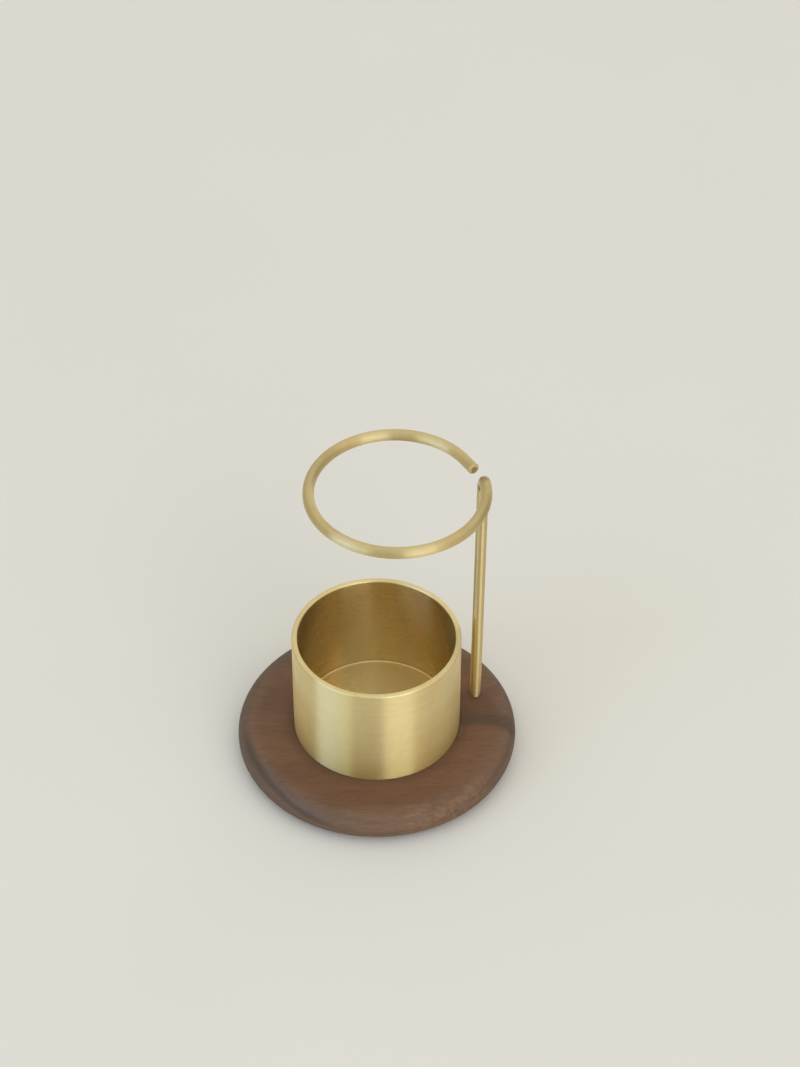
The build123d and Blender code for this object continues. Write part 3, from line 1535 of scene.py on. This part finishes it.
@dataclass
class WalnutBase:
    """The turned walnut disc with its seat, recess and holes, and the rod that sets one hole."""

    rod: BentRod
    top_round: float = 3.92 * MM
    bottom_round: float = 3.8 * MM
    seat_gap: float = 0.05 * MM
    seat_mouth: float = 0.2 * MM
    pad_gap: float = 0.2 * MM
    screw_hole_radius: float = 1.7 * MM
    counterbore_radius: float = 3.8 * MM
    sides: int = 256
    round_steps: int = 14

    def section(self) -> Profile:
        """Draw the disc's half section, with sizes that other pieces set taken from them.

        Returns:
            The section, which ends where it begins.
        """
        low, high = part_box("base")
        cup_low, cup_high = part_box("cup")
        pad_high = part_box("base_pad")[1]
        washer_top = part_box("cup_washer")[1].z
        seat = cup_high.x + self.seat_gap
        section = Profile(self.screw_hole_radius, washer_top)
        section.line(self.screw_hole_radius, cup_low.z)
        section.line(seat, cup_low.z)
        section.line(seat, high.z - self.seat_mouth)
        section.line(seat + self.seat_mouth, high.z)
        middle = high.x - self.top_round, high.z - self.top_round
        section.line(middle[0], high.z)
        section.arc(middle, -QUARTER_TURN, self.round_steps)
        middle = high.x - self.bottom_round, low.z + self.bottom_round
        section.line(high.x, middle[1])
        section.arc(middle, -QUARTER_TURN, self.round_steps)
        section.line(pad_high.x + self.pad_gap, low.z)
        section.line(pad_high.x + self.pad_gap, pad_high.z)
        section.line(self.counterbore_radius, pad_high.z)
        section.line(self.counterbore_radius, washer_top)
        section.points.pop(0)
        section.line(self.screw_hole_radius, washer_top)
        return section

    def build(self) -> bpy.types.Object:
        """Turn the disc, bore the rod's tapered hole and oil it.

        Returns:
            The dressed base.
        """
        disc = self.section().turn("walnut_base", self.sides)
        self.rod.bore(disc)
        return dress(disc, "base", Walnut().material())


@dataclass
class BrassCup:
    """The turned cup with its flat rim, thick floor and blind tapped hole."""

    wall: float = 1.5 * MM
    floor: float = 2.6 * MM
    rim_round: float = 0.35 * MM
    corner_round: float = 0.5 * MM
    foot_chamfer: float = 0.3 * MM
    hole_radius: float = 1.52 * MM
    hole_depth: float = 2.1 * MM
    sides: int = 256

    def section(self) -> Profile:
        """Draw the cup's half section, from the blind hole round to the middle of the floor.

        Returns:
            The section.
        """
        low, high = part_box("cup")
        outer = high.x
        inner = outer - self.wall
        floor_top = low.z + self.floor
        section = Profile(0.0, low.z + self.hole_depth)
        section.line(self.hole_radius, low.z + self.hole_depth)
        section.line(self.hole_radius, low.z)
        section.line(outer - self.foot_chamfer, low.z)
        section.line(outer, low.z + self.foot_chamfer)
        section.line(outer, high.z - self.rim_round)
        section.arc((outer - self.rim_round, high.z - self.rim_round), QUARTER_TURN)
        section.line(inner + self.rim_round, high.z)
        section.arc((inner + self.rim_round, high.z - self.rim_round), QUARTER_TURN)
        section.line(inner, floor_top + self.corner_round)
        section.arc((inner - self.corner_round, floor_top + self.corner_round), -QUARTER_TURN)
        section.line(0.0, floor_top)
        return section

    def build(self) -> bpy.types.Object:
        """Turn the cup and give it the satin of a lathe.

        Returns:
            The dressed cup.
        """
        cup = self.section().turn("brass_cup", self.sides)
        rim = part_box("cup")[1]
        finish = TurnedBrass(inner_radius=(rim.x - self.wall) / MM, rim_height=rim.z / MM)
        return dress(cup, "cup", finish.material())


@dataclass
class CupScrew:
    """Button head screw with a hexagon socket and a real M3 thread."""

    KEY_SIDES = 6

    shank_radius: float = 1.5 * MM
    head_round: float = 1.32 * MM
    head_height: float = 1.65 * MM
    key_half_width: float = 1.0 * MM
    key_depth: float = 1.0 * MM
    thread_pitch: float = 0.5 * MM
    thread_depth: float = 0.27 * MM
    thread_start: float = 0.5 * MM
    thread_steps: int = 12
    flank_slope: float = 1.3
    root_flat: float = 0.15
    tip_chamfer: float = 0.4 * MM
    sides: int = 72

    def thread_radius(self, angle: float, height: float, top: float) -> float:
        """Work out the threaded shank's radius at a place.

        Args:
            angle: Angle round the axis.
            height: Height above the head.
            top: Height of the shank's tip above the head.

        Returns:
            The radius, with the thread's flanks, its run-out and the tip's chamfer.
        """
        phase = (height / self.thread_pitch - angle / FULL_TURN) % 1.0
        flank = abs(2.0 * phase - 1.0) * self.flank_slope - self.root_flat
        groove = 1.0 - min(1.0, max(0.0, flank))
        fade = min(1.0, max(0.0, (height - self.thread_start) / self.thread_pitch))
        tip = self.shank_radius - self.tip_chamfer + (top - height)
        return min(self.shank_radius - self.thread_depth * groove * fade, tip)

    def key_radius(self, angle: float) -> float:
        """Return the hexagon socket's radius at an angle."""
        side = FULL_TURN / self.KEY_SIDES
        return self.key_half_width / math.cos((angle % side) - side / 2.0)

    def build(self) -> bpy.types.Object:
        """Build the screw from the socket out over the head and up the shank.

        Returns:
            The dressed screw.
        """
        low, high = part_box("cup_screw")
        seat = low.z + self.head_height
        skin = Skin(self.sides)
        for level in (low.z + self.key_depth, low.z):
            skin.ring(polar_ring(self.key_radius, lambda angle: level, self.sides))
        dome = Profile(high.x - self.head_round, low.z)
        dome.arc((high.x - self.head_round, low.z + self.head_round), QUARTER_TURN)
        dome.line(high.x, seat)
        dome.line(self.shank_radius, seat)
        for radius, height in dome.points:
            skin.ring(circle(radius, height, self.sides))
        top = high.z - seat
        steps = round(top / (self.thread_pitch / self.thread_steps))
        for step in range(1, steps + 1):
            height = top * step / steps
            skin.ring(
                polar_ring(
                    lambda angle: self.thread_radius(angle, height, top),
                    lambda angle: seat + height,
                    self.sides,
                )
            )
        skin.cap(UPWARD * (low.z + self.key_depth), UPWARD * high.z)
        return dress(skin.mesh("button_screw"), "cup_screw", ZincSteel().material())


@dataclass
class CupWasher:
    """Punched washer, rounded on the side that the punch met."""

    bore_radius: float = 1.6 * MM
    punch_round: float = 0.12 * MM
    sides: int = 96

    def build(self) -> bpy.types.Object:
        """Turn the washer.

        Returns:
            The dressed washer.
        """
        low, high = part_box("cup_washer")
        middle = high.x - self.punch_round, high.z - self.punch_round
        ring = Profile(self.bore_radius, high.z)
        ring.line(middle[0], high.z)
        ring.arc(middle, -QUARTER_TURN)
        ring.line(high.x, low.z)
        ring.line(self.bore_radius, low.z)
        ring.line(self.bore_radius, high.z)
        ring.points.pop()
        washer = ring.turn("plain_washer", self.sides)
        return dress(washer, "cup_washer", ZincSteel().material())


@dataclass
class RubberPad:
    """Cut rubber disc under the base, with a softened lower edge."""

    edge_round: float = 0.25 * MM
    sides: int = 192

    def build(self) -> bpy.types.Object:
        """Turn the pad.

        Returns:
            The dressed pad.
        """
        low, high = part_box("base_pad")
        middle = high.x - self.edge_round, low.z + self.edge_round
        disc = Profile(0.0, high.z)
        disc.line(high.x, high.z)
        disc.line(high.x, middle[1])
        disc.arc(middle, -QUARTER_TURN)
        disc.line(0.0, low.z)
        pad = disc.turn("rubber_pad", self.sides)
        return dress(pad, "base_pad", Rubber().material())


def into_room(azimuth: float, elevation: float) -> Vector:
    """Return the direction into the room, with the azimuth from the front towards the right."""
    level = math.cos(elevation)
    return Vector((math.sin(azimuth) * level, -math.cos(azimuth) * level, math.sin(elevation)))


@dataclass(frozen=True)
class Window:
    """A soft window: a lit rectangle that faces the holder.

    Angles are in degrees. The azimuth counts from the front towards the right.
    """

    name: str
    azimuth: float
    elevation: float
    wide: float
    tall: float
    glow: float
    tint: Triple
    aim_height: float = 0.03

    def build(self, distance: float) -> None:
        """Hang the window.

        Args:
            distance: Metres from the holder.
        """
        up = math.radians(self.elevation)
        away = into_room(math.radians(self.azimuth), up)
        light = bpy.data.lights.new(self.name, "AREA")
        light.shape = "RECTANGLE"
        light.size = 2.0 * distance * math.tan(math.radians(self.wide) / 2.0) * math.cos(up)
        light.size_y = 2.0 * distance * math.tan(math.radians(self.tall) / 2.0)
        light.color = self.tint
        light.energy = self.glow * math.pi * light.size * light.size_y
        lamp = bpy.data.objects.new(self.name, light)
        lamp.location = away * distance + UPWARD * self.aim_height
        lamp.rotation_mode = "QUATERNION"
        lamp.rotation_quaternion = away.to_track_quat("Z", "Y")
        bpy.context.scene.collection.objects.link(lamp)


@dataclass(frozen=True)
class Studio:
    """Pale floor, soft daylight and the camera at the photograph's place.

    Lengths are in metres, but for the sensor's millimetres and the focal length's pixels.
    """

    floor_size: float = 6.0
    window_distance: float = 2.8
    low_sky: Colour = (0.46, 0.43, 0.36, 1.0)
    high_sky: Colour = (0.96, 0.98, 0.93, 1.0)
    low_sky_top: float = math.radians(24.0)
    high_sky_start: float = math.radians(36.0)
    corner: Colour = (0.19, 0.155, 0.115, 1.0)
    corner_azimuth: float = math.radians(122.0)
    corner_elevation: float = math.radians(11.0)
    corner_full: float = math.radians(14.0)
    corner_end: float = math.radians(29.0)
    focal_pixels: float = 2670.474
    sensor: float = 36.0
    nearest: float = 0.01
    farthest: float = 20.0
    pitch: float = math.radians(42.592)
    roll: float = 0.003
    camera_place: Triple = (6.140 * MM, -501.093 * MM, 537.216 * MM)
    windows: tuple[Window, ...] = (
        Window("window_left", -60.0, 15.0, 30.0, 30.0, 3.35, (0.39, 0.58, 1.0)),
        Window("curtain_left", -37.5, 15.0, 15.0, 30.0, 1.72, (0.63, 0.96, 1.0)),
        Window("window_front", 27.0, 15.0, 36.0, 30.0, 2.31, (0.98, 1.0, 0.98)),
        Window("curtain_front", 52.5, 15.0, 15.0, 30.0, 0.56, (1.0, 0.77, 0.30)),
        Window("window_behind", 150.0, 15.0, 30.0, 30.0, 0.62, (1.0, 0.95, 0.94)),
        Window("skylight_front", 30.0, 45.0, 60.0, 30.0, 0.81, (0.24, 0.49, 1.0)),
        Window("skylight_side", 75.0, 45.0, 30.0, 30.0, 0.65, (1.0, 0.56, 0.46)),
    )

    def build_floor(self) -> None:
        """Lay the floor: one wide sheet under the holder."""
        half = self.floor_size / 2.0
        corners = [(-half, -half, 0.0), (half, -half, 0.0), (half, half, 0.0), (-half, half, 0.0)]
        data = bpy.data.meshes.new("table_top")
        data.from_pydata(corners, [], [(0, 1, 2, 3)])
        data.materials.append(PaleFloor().material())
        floor = bpy.data.objects.new("table_top", data)
        bpy.context.scene.collection.objects.link(floor)

    def build_sky(self) -> None:
        """Fill the room with soft light, dimmer near the horizon and in one corner behind."""
        world = bpy.data.worlds.new("room_light")
        world.use_nodes = True
        sky = Nodes(world.node_tree)
        direction = sky.node("ShaderNodeTexCoord").outputs["Generated"]
        height = sky.split(direction)[2]
        rise = Ramp(math.sin(self.low_sky_top), math.sin(self.high_sky_start))
        tone = sky.mix(sky.span(height, rise), self.low_sky, self.high_sky)
        nearness = sky.node("ShaderNodeVectorMath", operation="DOT_PRODUCT")
        sky.feed(nearness.inputs[0], direction)
        sky.feed(nearness.inputs[1], into_room(self.corner_azimuth, self.corner_elevation))
        into_corner = Ramp(math.cos(self.corner_end), math.cos(self.corner_full))
        tone = sky.mix(sky.span(nearness.outputs["Value"], into_corner), tone, self.corner)
        sky.feed(sky.tree.nodes["Background"].inputs["Color"], tone)
        bpy.context.scene.world = world

    def build_camera(self) -> None:
        """Set the camera where the photograph was taken from."""
        data = bpy.data.cameras.new("camera")
        data.sensor_fit = "AUTO"
        data.sensor_width = self.sensor
        data.lens = self.focal_pixels * self.sensor / PHOTO_HEIGHT
        data.clip_start = self.nearest
        data.clip_end = self.farthest
        right = Vector((1.0, 0.0, 0.0))
        up = Vector((0.0, math.sin(self.pitch), math.cos(self.pitch)))
        forward = Vector((0.0, math.cos(self.pitch), -math.sin(self.pitch)))
        rolled_right = (right + up * self.roll).normalized()
        rolled_up = (up - right * self.roll).normalized()
        axes = Matrix((rolled_right, rolled_up, -forward)).transposed().to_4x4()
        camera = bpy.data.objects.new("camera", data)
        camera.matrix_world = Matrix.Translation(Vector(self.camera_place)) @ axes
        bpy.context.scene.collection.objects.link(camera)
        bpy.context.scene.camera = camera

    def build(self) -> None:
        """Set up the room."""
        self.build_floor()
        self.build_sky()
        for window in self.windows:
            window.build(self.window_distance)
        self.build_camera()
        bpy.context.scene.view_settings.view_transform = "Standard"


def main() -> None:
    """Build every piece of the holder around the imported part, and then the room."""
    logging.basicConfig(level=logging.INFO, format="%(name)s: %(message)s")
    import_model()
    rod = BentRod()
    for maker in (rod, WalnutBase(rod), BrassCup(), CupScrew(), CupWasher(), RubberPad()):
        piece = maker.build()
        log.info("%s: %d faces", piece.name, len(piece.data.polygons))
    Studio().build()


if __name__ == "__main__":
    main()
